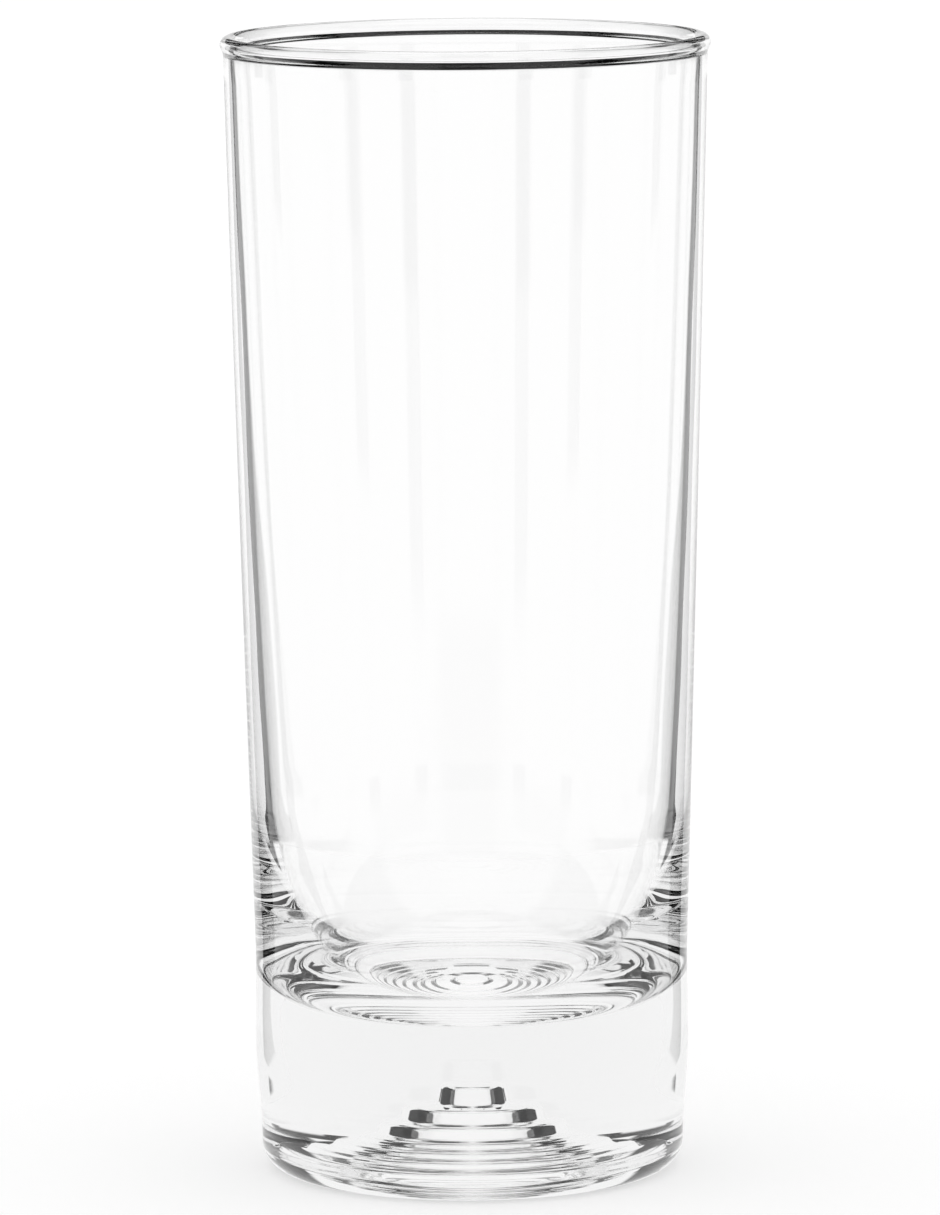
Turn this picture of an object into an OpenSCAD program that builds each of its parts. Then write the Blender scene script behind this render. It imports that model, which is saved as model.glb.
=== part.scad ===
// A tall, slightly tapered highball glass with a thick solid base.
// The glass stands on its resting ring at z = 0, with its axis along z.
// The real one is a single piece of glass. It is drawn here as three zones that
// meet face to face: the rounded rim, the side wall, and the heavy base, which has
// the bowl's floor on top and the stepped punt underneath.

/* [Overall] */
// Height from the resting ring to the top of the rim
glass_h = 145; // [125:1:175]
// Outer diameter over the rounded rim
rim_d = 62; // [58:0.5:70]

/* [Rim] */
// Diameter of the rounded bead that finishes the rim
bead_d = 2.2; // [1.8:0.1:3.2]
// Thickness of the wall just below the bead
lip_wall = 1.4; // [1:0.1:1.7]
// Height of the hollow neck in which the bead runs out into the wall
neck_h = 0.45; // [0.3:0.05:1]

/* [Side wall] */
// Outer diameter at the waist, where the side wall is narrowest
waist_d = 55.2; // [52:0.2:57]
// Height of the waist
waist_h = 28; // [24:1:34]
// Thickness of the wall at its lower end, above the round corner of the bowl
lower_wall = 2.6; // [2:0.1:4]
// Height at which the inside of the wall turns into the round corner of the bowl
corner_h = 48; // [44:1:60]

/* [Heavy base] */
// Height of the seam between the side wall and the heavy base
seam_h = 38; // [35:1:43]
// Outer diameter at the belly, the slight swell of the base
belly_d = 55.4; // [53:0.2:58]
// Height of the belly
belly_h = 17; // [11:0.5:22]
// Outer diameter of the foot, just above the rounded heel
foot_d = 54; // [50:0.2:56]
// Radius of the rounded heel
heel_r = 3.6; // [2.5:0.1:6]
// Thickness of solid glass from the resting plane to the middle of the bowl's floor
floor_h = 20; // [17:0.5:26]
// Diameter of the nearly flat floor of the bowl
floor_d = 30; // [24:1:34]
// How far the floor rises from its middle to its edge
floor_rise = 1.3; // [0.5:0.1:2.5]

/* [Punt] */
// Width of the resting ring around the punt, with its rounded inner edge
ring_w = 1.25; // [0.8:0.05:2.5]
// Height of the punt's top above the resting plane
punt_h = 12.4; // [8:0.1:14]
// How far each riser of the punt leans inwards from foot to top
riser_lean = 0.35; // [0.1:0.05:0.5]
// How far each tread of the punt climbs towards the axis
tread_climb = 0.12; // [0.05:0.01:0.2]
// How far the rounding of the punt's edges reaches along each riser and tread
edge_round = 0.45; // [0.1:0.05:0.6]

/* [Hidden] */

// Steps along a long curve, a short curve, an arc, the neck and a rounded edge
long_steps = 28;
short_steps = 10;
arc_steps = 16;
neck_steps = 4;
round_steps = 2;
// Two points of an outline are never closer together in height than this
min_step = 0.05;
// The bead keeps its circle down to this angle from straight down
bead_turn = 58;

// The two handles of each curve, as shares of the way across and down from its upper
// end to its lower end
side_share = [[0.32, 0.34], [0.63, 0.67]];
neck_share = [[0.57, 0.3], [1, 0.65]];
swell_share = [[0, 0.35], [1, 0.65]];
bowl_share = [[0.31, 0.33], [0.53, 0.67]];
corner_share = [[0.067, 0.45], [0.38, 0.92]];
floor_share = [[0.3, 0.85], [0.67, 1]];

// Foot radius and tread height of each step of the punt, from the resting ring
// inwards, as shares of the punt's radius and of its height
step_share = [
    [0.97, 0.06],
    [0.85, 0.13],
    [0.74, 0.215],
    [0.63, 0.305],
    [0.53, 0.395],
    [0.435, 0.482],
    [0.363, 0.64],
    [0.275, 0.806],
    [0.135, 1]
];

bead_r = bead_d / 2;
lip_r = rim_d / 2 - bead_r;
bead_z = glass_h - bead_r;
// Height of the neck's foot, where the wall begins
lip_z = bead_z - bead_r * cos(asin(lip_wall / bead_d)) - neck_h;
heel_x = foot_d / 2 - heel_r;
punt_r = heel_x - ring_w;

waist = [waist_d / 2, waist_h];
belly = [belly_d / 2, belly_h];
foot = [foot_d / 2, heel_r];

// A point that lies a share of the way from a to b, across and down
function between(a, b, share) = [
    a.x + (b.x - a.x) * share.x,
    a.y + (b.y - a.y) * share.y
];

// A smooth curve from a to b, drawn towards two handles
function curve(a, b, shares, steps) =
    let (c = between(a, b, shares[0]), d = between(a, b, shares[1]))
    [for (i = [0:steps])
        let (t = i / steps, u = 1 - t)
        u^3 * a + 3 * u^2 * t * c + 3 * u * t^2 * d + t^3 * b];

// Points of an arc about centre, from angle a0 to angle a1
function arc(centre, r, a0, a1) =
    [for (i = [0:arc_steps])
        let (a = a0 + (a1 - a0) * i / arc_steps)
        centre + r * [cos(a), sin(a)]];

// A list without its first point, so that joined curves share that point only once
function tail(points) = [for (i = [1:len(points) - 1]) points[i]];

// The point at a given distance from a on the way to b
function towards(a, b, reach) = a + (b - a) * reach / norm(b - a);

// The short curve that rounds off a corner between two other points
function rounding(before, corner, after, radius) =
    let (
        reach = min(radius, norm(before - corner) / 2.2, norm(after - corner) / 2.2),
        a = towards(corner, before, reach),
        b = towards(corner, after, reach)
    )
    [for (i = [0:round_steps])
        let (t = i / round_steps, u = 1 - t)
        u^2 * a + 2 * u * t * corner + t^2 * b];

// An open outline with each inner corner rounded off
function rounded(points, radius) = let (last = len(points) - 1) concat(
    [points[0]],
    [for (i = [1:last - 1])
        each rounding(points[i - 1], points[i], points[i + 1], radius)],
    [points[last]]
);

// Radius of an outline at height z
function radius_at(outline, z) = lookup(z, [for (p = outline) [p.y, p.x]]);

// The part of a falling outline above or below height z, ending on that height
function above(outline, z) = concat(
    [for (p = outline) if (p.y > z + min_step) p],
    [[radius_at(outline, z), z]]
);
function below(outline, z) = concat(
    [[radius_at(outline, z), z]],
    [for (p = outline) if (p.y < z - min_step) p]
);

// Outside of the glass, from the neck's foot down to the resting ring
side_line = curve([lip_r + lip_wall / 2, lip_z], waist, side_share, long_steps);
swell_line = curve(waist, belly, swell_share, short_steps);
foot_line = curve(belly, foot, swell_share, short_steps);
heel_line = arc([heel_x, heel_r], heel_r, 0, -90);
outside = concat(side_line, tail(swell_line), tail(foot_line), tail(heel_line));

// Inside of the bowl, from the neck's foot down to the middle of the floor
corner_top = [radius_at(outside, corner_h) - lower_wall, corner_h];
floor_edge = [floor_d / 2, floor_h + floor_rise];
bowl_line = curve([lip_r - lip_wall / 2, lip_z], corner_top, bowl_share, long_steps);
corner_line = curve(corner_top, floor_edge, corner_share, long_steps);
floor_line = curve(floor_edge, [0, floor_h], floor_share, short_steps);
inside = concat(bowl_line, tail(corner_line), tail(floor_line));

// Height of the tread outside step i of the punt
function tread_z(i) = i == 0 ? 0 : punt_h * step_share[i - 1].y;

// The risers and treads of the punt from the resting ring to the axis, with sharp edges
sharp_punt = concat(
    [[heel_x, 0], [punt_r, 0]],
    [for (i = [0:len(step_share) - 1])
        let (step = step_share[i])
        each [
            [punt_r * step.x, tread_z(i) + tread_climb],
            [punt_r * step.x - riser_lean, punt_h * step.y]
        ]],
    [[0, punt_h]]
);
punt_line = rounded(sharp_punt, edge_round);

// Turns a list of points back to front
function reversed(points) = [for (i = [len(points) - 1:-1:0]) points[i]];

// A solid of revolution about the glass's axis
module turned(outline) {
    rotate_extrude($fn = 180)
        polygon(outline);
}

// Bead of the rim, from its outer end over the top to its inner end, and the necks below
bead_line = arc([lip_r, bead_z], bead_r, bead_turn - 90, 270 - bead_turn);
outer_neck = curve(bead_line[0], outside[0], neck_share, neck_steps);
inner_neck = curve(bead_line[len(bead_line) - 1], inside[0], neck_share, neck_steps);

// Rounded rim: the bead and its neck, which sit on the top edge of the wall
module rim_bead() {
    color([0.93, 0.95, 0.95, 0.5])
        turned(concat(bead_line, tail(inner_neck), reversed(tail(outer_neck))));
}

// Side wall: open above and below, thicker towards the base
module side_wall() {
    color([0.88, 0.92, 0.92, 0.4])
        turned(concat(above(outside, seam_h), reversed(above(inside, seam_h))));
}

// Heavy base: the bowl's round corner and floor, the heel, the resting ring and the punt
module heavy_base() {
    color([0.8, 0.86, 0.87, 0.6])
        turned(concat(below(outside, seam_h), tail(punt_line), reversed(below(inside, seam_h))));
}

rim_bead();
side_wall();
heavy_base();
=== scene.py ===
"""A clear highball glass with a heavy base, on a plain white studio floor.

The glass is drawn as one unbroken skin of glass, because a seam inside clear glass would
bend the light. It stands for the rim, the side wall and the heavy base of the CAD model.
"""
import math

import bpy
from mathutils import Matrix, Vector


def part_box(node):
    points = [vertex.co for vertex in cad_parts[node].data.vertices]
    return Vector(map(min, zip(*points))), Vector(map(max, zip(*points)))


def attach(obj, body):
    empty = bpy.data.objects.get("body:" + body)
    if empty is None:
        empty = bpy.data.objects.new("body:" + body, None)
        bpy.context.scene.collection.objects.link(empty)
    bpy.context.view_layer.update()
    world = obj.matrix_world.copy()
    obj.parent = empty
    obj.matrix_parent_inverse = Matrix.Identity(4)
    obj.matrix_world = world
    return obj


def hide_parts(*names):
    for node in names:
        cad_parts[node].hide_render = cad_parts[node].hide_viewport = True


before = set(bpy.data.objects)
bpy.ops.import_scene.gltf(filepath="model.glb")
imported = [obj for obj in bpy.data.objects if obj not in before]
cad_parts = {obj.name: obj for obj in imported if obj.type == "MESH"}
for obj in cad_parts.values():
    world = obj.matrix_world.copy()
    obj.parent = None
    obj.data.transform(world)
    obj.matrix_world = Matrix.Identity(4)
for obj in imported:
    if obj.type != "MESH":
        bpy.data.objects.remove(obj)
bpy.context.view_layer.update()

MM = 0.001

# Sizes of the glass, the same as in the CAD model
GLASS_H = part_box("rim_bead")[1][2]
RIM_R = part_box("rim_bead")[1][0]
BEAD_R = 1.1 * MM
LIP_WALL = 1.4 * MM
WAIST = (27.6 * MM, 28 * MM)
BELLY = (27.7 * MM, 17 * MM)
FOOT_R = 27 * MM
HEEL_R = 3.6 * MM
CORNER_H = 48 * MM
LOWER_WALL = 2.6 * MM
FLOOR_R = 15 * MM
FLOOR_H = 20 * MM
FLOOR_RISE = 1.3 * MM
RING_W = 1.25 * MM
PUNT_H = 12.4 * MM
RISER_LEAN = 0.35 * MM
TREAD_CLIMB = 0.12 * MM
EDGE_ROUND = 0.45 * MM
# The bead keeps its circle down to this angle from straight down, and a hollow neck of this
# height runs from there into the wall
BEAD_TURN = 58
NECK_H = 0.45 * MM

# Handles of each curve, as shares of the way across and down from its upper end
SIDE_SHARE = ((0.32, 0.34), (0.63, 0.67))
NECK_SHARE = ((0.57, 0.3), (1, 0.65))
SWELL_SHARE = ((0, 0.35), (1, 0.65))
BOWL_SHARE = ((0.31, 0.33), (0.53, 0.67))
CORNER_SHARE = ((0.067, 0.45), (0.38, 0.92))
FLOOR_SHARE = ((0.3, 0.85), (0.67, 1))

# Foot radius and tread height of each step of the punt, as shares of its radius and height
STEP_SHARE = (
    (0.97, 0.06), (0.85, 0.13), (0.74, 0.215), (0.63, 0.305), (0.53, 0.395),
    (0.435, 0.482), (0.363, 0.64), (0.275, 0.806), (0.135, 1),
)

# Steps round the glass and along its outline
SEGMENTS = 376
LONG_STEPS = 30
SHORT_STEPS = 10
ARC_STEPS = 16
ROUND_STEPS = 3
NECK_STEPS = 8

# A rounding takes at most the length of an edge over this, so that two fit on one edge
EDGE_PART = 2.2
# A point of the outline that is nearer to the axis than this isn't turned into a ring
ON_AXIS = 1e-9

# Centre of the rim's bead, and the height of its neck's foot, where the wall begins
BEAD_CENTRE = (RIM_R - BEAD_R, GLASS_H - BEAD_R)
LIP_Z = BEAD_CENTRE[1] - BEAD_R * math.cos(math.asin(LIP_WALL / 2 / BEAD_R)) - NECK_H
# Radius at which the heel meets the resting ring
RING_R = FOOT_R - HEEL_R

IOR = 1.52
# Share of light that a metre of the glass takes away, as a rate
ABSORPTION = 2.2


def between(a, b, share):
    """The point that lies a share of the way from a to b, across and down."""
    return (a[0] + (b[0] - a[0]) * share[0], a[1] + (b[1] - a[1]) * share[1])


def weighed(weights, points):
    """The sum of points of the section, each times its weight."""
    return tuple(sum(w * p[k] for w, p in zip(weights, points)) for k in (0, 1))


def curve(a, b, shares, steps):
    """A smooth curve from a to b, drawn towards two handles."""
    handles = [between(a, b, share) for share in shares]
    points = []
    for i in range(steps + 1):
        t = i / steps
        u = 1 - t
        weights = (u ** 3, 3 * u * u * t, 3 * u * t * t, t ** 3)
        points.append(weighed(weights, (a, *handles, b)))
    return points


def arc(centre, radius, start, end, steps=ARC_STEPS):
    """Points of an arc between two angles in degrees."""
    angles = [math.radians(start + (end - start) * i / steps) for i in range(steps + 1)]
    return [(centre[0] + radius * math.cos(a), centre[1] + radius * math.sin(a)) for a in angles]


def rounded(points, radius, steps=ROUND_STEPS):
    """The open outline with each inner corner rounded off."""
    out = [points[0]]
    for before, corner, after in zip(points, points[1:], points[2:]):
        ends = []
        for other in (before, after):
            run = math.dist(corner, other)
            reach = min(radius, run / EDGE_PART)
            ends.append(tuple(corner[k] + (other[k] - corner[k]) * reach / run for k in (0, 1)))
        for i in range(steps + 1):
            t = i / steps
            u = 1 - t
            out.append(weighed((u * u, 2 * u * t, t * t), (ends[0], corner, ends[1])))
    out.append(points[-1])
    return out


def radius_at(outline, z):
    """Radius of a falling outline at height z."""
    for upper, lower in zip(outline, outline[1:]):
        if upper[1] >= z >= lower[1]:
            share = (upper[1] - z) / (upper[1] - lower[1])
            return upper[0] + (lower[0] - upper[0]) * share
    raise ValueError("height is not on the outline")


def outer_line():
    """Outside of the glass, from the foot of the rim's neck down to the resting ring."""
    line = curve((BEAD_CENTRE[0] + LIP_WALL / 2, LIP_Z), WAIST, SIDE_SHARE, LONG_STEPS)
    line += curve(WAIST, BELLY, SWELL_SHARE, SHORT_STEPS)[1:]
    line += curve(BELLY, (FOOT_R, HEEL_R), SWELL_SHARE, SHORT_STEPS)[1:]
    return line + arc((RING_R, HEEL_R), HEEL_R, 0, -90)[1:]


def inner_line(outside):
    """Inside of the bowl, from the foot of the rim's neck down to the middle of its floor."""
    corner_top = (radius_at(outside, CORNER_H) - LOWER_WALL, CORNER_H)
    floor_edge = (FLOOR_R, FLOOR_H + FLOOR_RISE)
    line = curve((BEAD_CENTRE[0] - LIP_WALL / 2, LIP_Z), corner_top, BOWL_SHARE, LONG_STEPS)
    line += curve(corner_top, floor_edge, CORNER_SHARE, LONG_STEPS)[1:]
    return line + curve(floor_edge, (0, FLOOR_H), FLOOR_SHARE, SHORT_STEPS)[1:]


def punt_line():
    """Underside of the glass, from the resting ring up the steps of the punt to the axis."""
    punt_r = RING_R - RING_W
    line = [(RING_R, 0), (punt_r, 0)]
    tread_z = 0
    for r_share, z_share in STEP_SHARE:
        riser_r = punt_r * r_share
        line.append((riser_r, tread_z + TREAD_CLIMB))
        tread_z = PUNT_H * z_share
        line.append((riser_r - RISER_LEAN, tread_z))
    line.append((0, PUNT_H))
    return rounded(line, EDGE_ROUND)


def glass_outline():
    """Outline of the glass, from the middle of the bowl's floor to the top of the punt."""
    outside = outer_line()
    inside = inner_line(outside)
    bead = arc(BEAD_CENTRE, BEAD_R, 270 - BEAD_TURN, BEAD_TURN - 90, 2 * ARC_STEPS)
    inner_neck = curve(bead[0], inside[0], NECK_SHARE, NECK_STEPS)
    outer_neck = curve(bead[-1], outside[0], NECK_SHARE, NECK_STEPS)
    upper = inside[:0:-1] + inner_neck[::-1] + bead[1:-1] + outer_neck
    return upper + outside[1:-1] + punt_line()


def revolved(name, outline):
    """A closed mesh: the outline turned about the glass's axis."""
    verts, faces, rings = [], [], []
    for r, z in outline:
        count = 1 if r < ON_AXIS else SEGMENTS
        rings.append(range(len(verts), len(verts) + count))
        for k in range(count):
            angle = 2 * math.pi * k / SEGMENTS
            verts.append((r * math.cos(angle), r * math.sin(angle), z))
    for low, high in zip(rings, rings[1:]):
        for k in range(SEGMENTS):
            n = (k + 1) % SEGMENTS
            if len(low) == 1:
                faces.append((low[0], high[k], high[n]))
            elif len(high) == 1:
                faces.append((low[k], high[0], low[n]))
            else:
                faces.append((low[k], high[k], high[n], low[n]))
    mesh = bpy.data.meshes.new(name)
    mesh.from_pydata(verts, [], faces)
    mesh.polygons.foreach_set("use_smooth", [True] * len(faces))
    mesh.update()
    piece = bpy.data.objects.new(name, mesh)
    bpy.context.scene.collection.objects.link(piece)
    return piece


class Nodes:
    """Short calls for building a node tree."""

    def __init__(self, owner):
        owner.use_nodes = True
        self.tree = owner.node_tree
        self.tree.nodes.clear()

    def add(self, kind):
        return self.tree.nodes.new(kind)

    def link(self, output, socket):
        self.tree.links.new(output, socket)

    def feed(self, socket, value):
        """Sets a socket to a plain number, or links it to another node's output."""
        if isinstance(value, (int, float)):
            socket.default_value = value
        else:
            self.link(value, socket)

    def math(self, operation, *values):
        node = self.add("ShaderNodeMath")
        node.operation = operation
        for socket, value in zip(node.inputs, values):
            self.feed(socket, value)
        return node.outputs[0]

    def step(self, value, start, end):
        """0 below start, 1 above end, and smooth in between."""
        node = self.add("ShaderNodeMapRange")
        node.interpolation_type = "SMOOTHSTEP"
        self.link(value, node.inputs["Value"])
        node.inputs["From Min"].default_value = start
        node.inputs["From Max"].default_value = end
        return node.outputs[0]

    def before(self, value, start, end):
        """1 below start, 0 above end, and smooth in between."""
        return self.math("SUBTRACT", 1, self.step(value, start, end))

    def band(self, value, near, far):
        """1 from one soft edge to the other, and 0 outside them."""
        return self.math("MULTIPLY", self.step(value, *near), self.before(value, *far))

    def grown(self, value, base, additions):
        """A base, plus each addition as the value goes from its start to its end."""
        total = base
        for start, end, amount in additions:
            total = self.math("MULTIPLY_ADD", self.step(value, start, end), amount, total)
        return total

    def mix(self, factor, first, second):
        """The first where the factor is 0, the second where it is 1, and a mix in between."""
        node = self.add("ShaderNodeMix")
        for index, value in ((0, factor), (2, first), (3, second)):
            self.feed(node.inputs[index], value)
        return node.outputs[0]

    def folded(self, angle, middle, period):
        """Distance in degrees from the nearest of the directions that repeat by period."""
        moved = self.math("ADD", angle, period / 2 - middle)
        wrapped = self.math("FLOORED_MODULO", moved, period)
        return self.math("ABSOLUTE", self.math("SUBTRACT", wrapped, period / 2))

    def emission(self, strength):
        node = self.add("ShaderNodeEmission")
        node.inputs["Strength"].default_value = strength
        return node.outputs[0]

    def joined(self, kind, first, second, factor=None):
        """Two shaders in one, either added up or mixed by a factor."""
        node = self.add(kind)
        self.link(first, node.inputs[-2])
        self.link(second, node.inputs[-1])
        if factor is not None:
            self.link(factor, node.inputs[0])
        return node.outputs[0]

    def by_glass(self):
        """1 for what glass mirrors or bends, and 0 for what the camera sees by itself."""
        path = self.add("ShaderNodeLightPath")
        return self.math(
            "MAXIMUM", path.outputs["Is Glossy Ray"], path.outputs["Is Transmission Ray"])


def clear_glass():
    """Colourless soda-lime glass."""
    material = bpy.data.materials.new("clear_glass")
    nodes = Nodes(material)
    output = nodes.add("ShaderNodeOutputMaterial")
    glass = nodes.add("ShaderNodeBsdfGlass")
    glass.inputs["Color"].default_value = (1, 1, 1, 1)
    glass.inputs["Roughness"].default_value = 0
    glass.inputs["IOR"].default_value = IOR
    nodes.link(glass.outputs[0], output.inputs["Surface"])
    depth = nodes.add("ShaderNodeVolumeAbsorption")
    depth.inputs["Color"].default_value = (0, 0, 0, 1)
    depth.inputs["Density"].default_value = ABSORPTION
    nodes.link(depth.outputs[0], output.inputs["Volume"])
    return material


# The studio that the glass sees past the table top, by direction and in degrees. A heading
# counts from straight behind the glass in the main view, and a rise from the horizon. Each
# pair of numbers is where a soft edge starts and where it ends.
QUARTER = 90

# For a level view a white panel stands every quarter turn, with dark gaps between them
LEVEL_GAP = (24, 30)
# For rays that fall a little, slim dark flags stand beside the same panels
SLIM_FLAG = ((25.3, 26.3), (32.3, 34.3))
# For steeper rays a dark flag stands on either side of the panel behind the glass. Where it
# starts and how wide it is are each a base, and rows of two steepnesses of the ray and what
# is added between them
FLAG_START = (25.3, ((6.8, 7.8, 3), (9, 11, 2.7), (11.2, 13, 2.5), (13.5, 17, -5.5)))
FLAG_WIDTH = (7, ((7.5, 12, 12), (13.5, 17, 14)))
FLAG_NEAR_EDGE = (0, 1)
FLAG_FAR_EDGE = (0, 2)
# For a raised view white panels stand half a quarter turn off, and one straight behind
CORNER_GAP = (23, 35)
BEHIND_PANEL = (10, 16)
# A flag where the round corner of the bowl throws rays steeply down to both sides
DEEP_FLAG = ((14, 18), (33, 36))
DEEP_END = (29, 33)
# Dark sides above the horizon, where the base throws rays upwards
UPWARD_GAP = ((38, 42), (112, 125))

# Past this heading, on the camera's side, the gaps are paler for level and for raised views
FRONT = (100, 115)
FRONT_LEVEL = 0.35
FRONT_CORNER = 0.55
# Rise at which the pattern for a raised view ends, behind the glass and in front of it
CORNER_TOP = -21.5
FRONT_CORNER_TOP = -13.5
CORNER_TOP_EDGE = (-0.6, 0.6)
# Rises at which the wide flags give way to the slim ones, these to the gaps for a level
# view, and those to the dark sides
SLIM_RISE = (-4.2, -3.8)
LEVEL_RISE = (-2, 3)
UPWARD_RISE = (8, 9)
# Light that a dark gap takes away
GAP_DARKNESS = 0.97


def studio_darkness(nodes, heading, rise):
    """How dark the studio is in a direction: 0 on a white panel and 1 in a dark gap."""
    ahead = nodes.math("ABSOLUTE", heading)
    steep = nodes.math("MULTIPLY", rise, -1)
    front = nodes.step(ahead, *FRONT)

    off_panel = nodes.folded(heading, 0, QUARTER)
    level = nodes.step(off_panel, *LEVEL_GAP)
    level = nodes.math("MULTIPLY", level, nodes.mix(front, 1, FRONT_LEVEL))
    slim = nodes.band(off_panel, *SLIM_FLAG)

    past_start = nodes.math("SUBTRACT", ahead, nodes.grown(steep, *FLAG_START))
    past_end = nodes.math("SUBTRACT", past_start, nodes.grown(steep, *FLAG_WIDTH))
    flags = nodes.math(
        "MULTIPLY", nodes.step(past_start, *FLAG_NEAR_EDGE), nodes.before(past_end, *FLAG_FAR_EDGE))

    corner = nodes.step(nodes.folded(heading, QUARTER / 2, QUARTER), *CORNER_GAP)
    corner = nodes.math("MULTIPLY", corner, nodes.step(ahead, *BEHIND_PANEL))
    corner = nodes.math("MULTIPLY", corner, nodes.mix(front, 1, FRONT_CORNER))
    deep = nodes.math("MULTIPLY", nodes.band(ahead, *DEEP_FLAG), nodes.before(steep, *DEEP_END))
    corner = nodes.math("MAXIMUM", corner, deep)
    corner_top = nodes.mix(front, CORNER_TOP, FRONT_CORNER_TOP)
    above_corner = nodes.step(nodes.math("SUBTRACT", rise, corner_top), *CORNER_TOP_EDGE)

    dark = nodes.mix(above_corner, corner, flags)
    dark = nodes.mix(nodes.step(rise, *SLIM_RISE), dark, slim)
    dark = nodes.mix(nodes.step(rise, *LEVEL_RISE), dark, level)
    return nodes.mix(nodes.step(rise, *UPWARD_RISE), dark, nodes.band(ahead, *UPWARD_GAP))


def studio_world():
    """White for the camera. What the glass bends or mirrors sees white panels and dark gaps."""
    world = bpy.data.worlds.new("studio")
    bpy.context.scene.world = world
    nodes = Nodes(world)
    coordinates = nodes.add("ShaderNodeTexCoord")
    split = nodes.add("ShaderNodeSeparateXYZ")
    nodes.link(coordinates.outputs["Generated"], split.inputs[0])
    x, y, z = split.outputs
    heading = nodes.math("MULTIPLY", nodes.math("ARCTAN2", x, y), 180 / math.pi)
    rise = nodes.math("MULTIPLY", nodes.math("ARCSINE", z), 180 / math.pi)

    dark = studio_darkness(nodes, heading, rise)
    tone = nodes.math("SUBTRACT", 1, nodes.math("MULTIPLY", dark, GAP_DARKNESS))
    background = nodes.add("ShaderNodeBackground")
    nodes.link(nodes.mix(nodes.by_glass(), 1, tone), background.inputs["Color"])
    output = nodes.add("ShaderNodeOutputWorld")
    nodes.link(background.outputs[0], output.inputs["Surface"])


STAGE_R = 3000 * MM
STAGE_SIDES = 128
# What the camera sees of the floor: a matt tone, which takes the shadow, and a glow
STAGE_TONE = 0.5
STAGE_GLOW = 0.54
# The pale table top that the glass sees instead, and where its round edge fades
TABLE_R = (116 * MM, 119 * MM)
# Its two far corners are cut off past these places
TABLE_X = (65 * MM, 68 * MM)
TABLE_Y = (38 * MM, 46 * MM)


def past_table(nodes):
    """1 past the edge of the pale table top, and 0 on it."""
    place = nodes.add("ShaderNodeNewGeometry").outputs["Position"]
    length = nodes.add("ShaderNodeVectorMath")
    length.operation = "LENGTH"
    nodes.link(place, length.inputs[0])
    split = nodes.add("ShaderNodeSeparateXYZ")
    nodes.link(place, split.inputs[0])
    x, y, _ = split.outputs
    past_side = nodes.step(nodes.math("ABSOLUTE", x), *TABLE_X)
    far_corner = nodes.math("MULTIPLY", past_side, nodes.step(y, *TABLE_Y))
    return nodes.math("MAXIMUM", nodes.step(length.outputs["Value"], *TABLE_R), far_corner)


def floor_material():
    """White with a shadow for the camera. Glass sees a table top and, past it, the studio."""
    material = bpy.data.materials.new("studio_floor")
    nodes = Nodes(material)
    diffuse = nodes.add("ShaderNodeBsdfDiffuse")
    diffuse.inputs["Color"].default_value = (STAGE_TONE, STAGE_TONE, STAGE_TONE, 1)
    shown = nodes.joined("ShaderNodeAddShader", diffuse.outputs[0], nodes.emission(STAGE_GLOW))
    clear = nodes.add("ShaderNodeBsdfTransparent").outputs[0]
    table = nodes.joined("ShaderNodeMixShader", nodes.emission(1), clear, past_table(nodes))
    surface = nodes.joined("ShaderNodeMixShader", shown, table, nodes.by_glass())
    output = nodes.add("ShaderNodeOutputMaterial")
    nodes.link(surface, output.inputs["Surface"])
    return material


def studio_floor():
    """A plain floor, far wider than the view."""
    bpy.ops.mesh.primitive_circle_add(vertices=STAGE_SIDES, radius=STAGE_R, fill_type="NGON")
    floor = bpy.context.object
    floor.name = "studio_floor"
    floor.data.materials.append(floor_material())


# The dark ring just above the glass, which only the glass sees
CANOPY_R = 80 * MM
CANOPY_Z = (156 * MM, 240 * MM)
CANOPY_SIDES = 96


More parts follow.
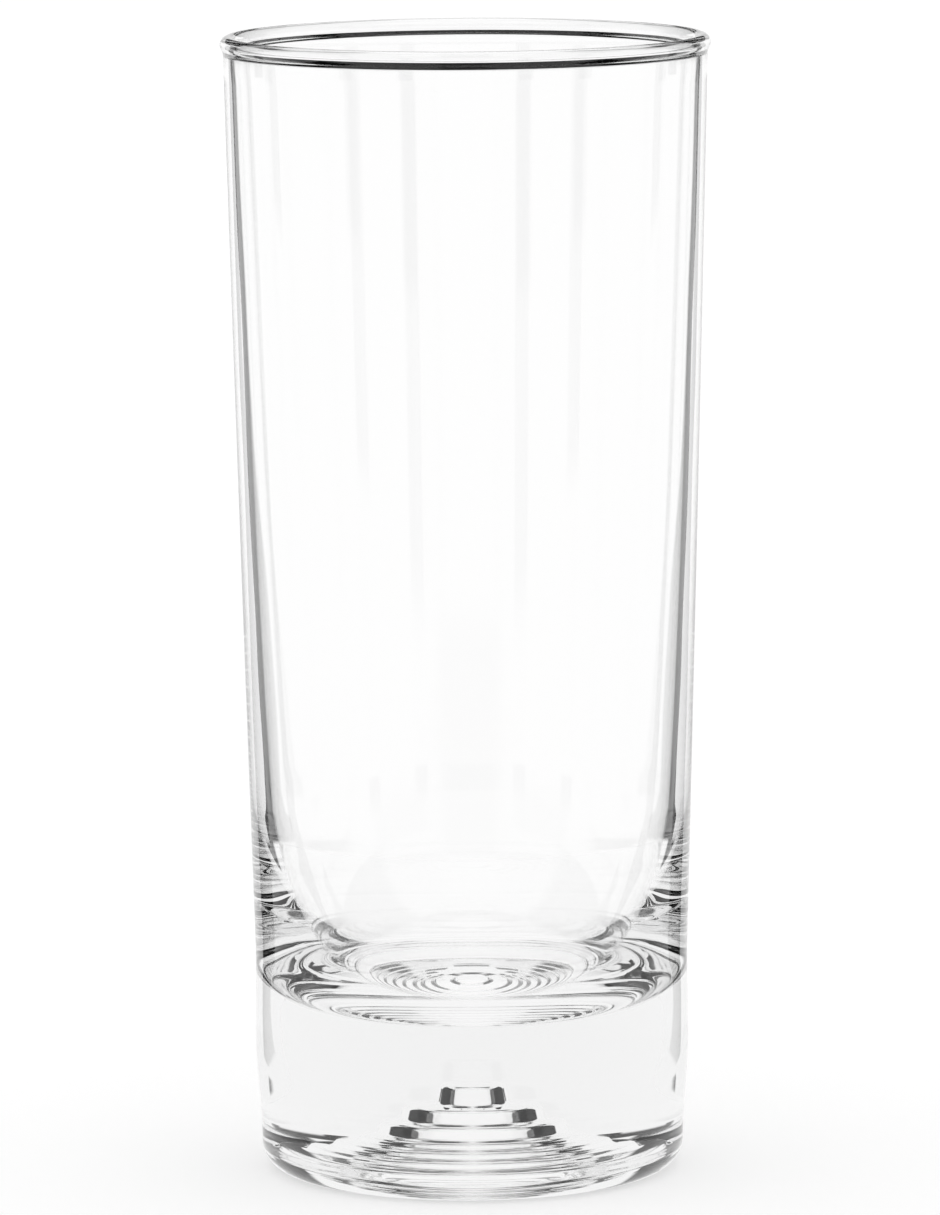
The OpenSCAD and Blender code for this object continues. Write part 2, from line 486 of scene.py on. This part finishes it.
def canopy_material():
    """Plain black."""
    material = bpy.data.materials.new("studio_canopy")
    nodes = Nodes(material)
    shade = nodes.add("ShaderNodeEmission")
    shade.inputs["Color"].default_value = (0, 0, 0, 1)
    output = nodes.add("ShaderNodeOutputMaterial")
    nodes.link(shade.outputs[0], output.inputs["Surface"])
    return material


def studio_canopy():
    """A dark open ring, which draws the dark lines of the rim's bead."""
    bpy.ops.mesh.primitive_cylinder_add(
        vertices=CANOPY_SIDES, radius=CANOPY_R, depth=CANOPY_Z[1] - CANOPY_Z[0],
        end_fill_type="NOTHING", location=(0, 0, sum(CANOPY_Z) / 2))
    canopy = bpy.context.object
    canopy.name = "studio_canopy"
    canopy.visible_camera = False
    canopy.visible_diffuse = False
    canopy.visible_shadow = False
    canopy.data.materials.append(canopy_material())


# The camera, solved from the ellipses of the rim and the foot in the photograph
IMAGE_H_PX = 1215
CAMERA_PLACE = (0.11 * MM, -1100 * MM, 223.68 * MM)
CAMERA_PITCH = 7.852
CAMERA_ROLL = -0.395
FOCAL_PX = 8722
SENSOR = 36
CLIP_START = 50 * MM
# Turns of light that are followed, as it has many to make inside the heavy base
BOUNCES = 32


def photo_camera():
    """The photograph's own view of the glass."""
    data = bpy.data.cameras.new("camera")
    data.sensor_width = SENSOR
    data.lens = FOCAL_PX / IMAGE_H_PX * SENSOR
    data.clip_start = CLIP_START
    camera = bpy.data.objects.new("camera", data)
    camera.matrix_world = (
        Matrix.Translation(CAMERA_PLACE)
        @ Matrix.Rotation(math.radians(90 - CAMERA_PITCH), 4, "X")
        @ Matrix.Rotation(math.radians(CAMERA_ROLL), 4, "Z"))
    bpy.context.scene.collection.objects.link(camera)
    bpy.context.scene.camera = camera


def settings():
    """Plain colours, and enough bounces for clear glass."""
    scene = bpy.context.scene
    scene.view_settings.view_transform = "Standard"
    scene.cycles.max_bounces = BOUNCES
    scene.cycles.transmission_bounces = BOUNCES
    scene.cycles.glossy_bounces = BOUNCES
    scene.cycles.transparent_max_bounces = BOUNCES


photo_camera()
settings()
studio_world()
studio_floor()
studio_canopy()

glass = revolved("glass", glass_outline())
glass.data.materials.append(clear_glass())
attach(glass, "root")
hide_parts("rim_bead", "side_wall", "heavy_base")
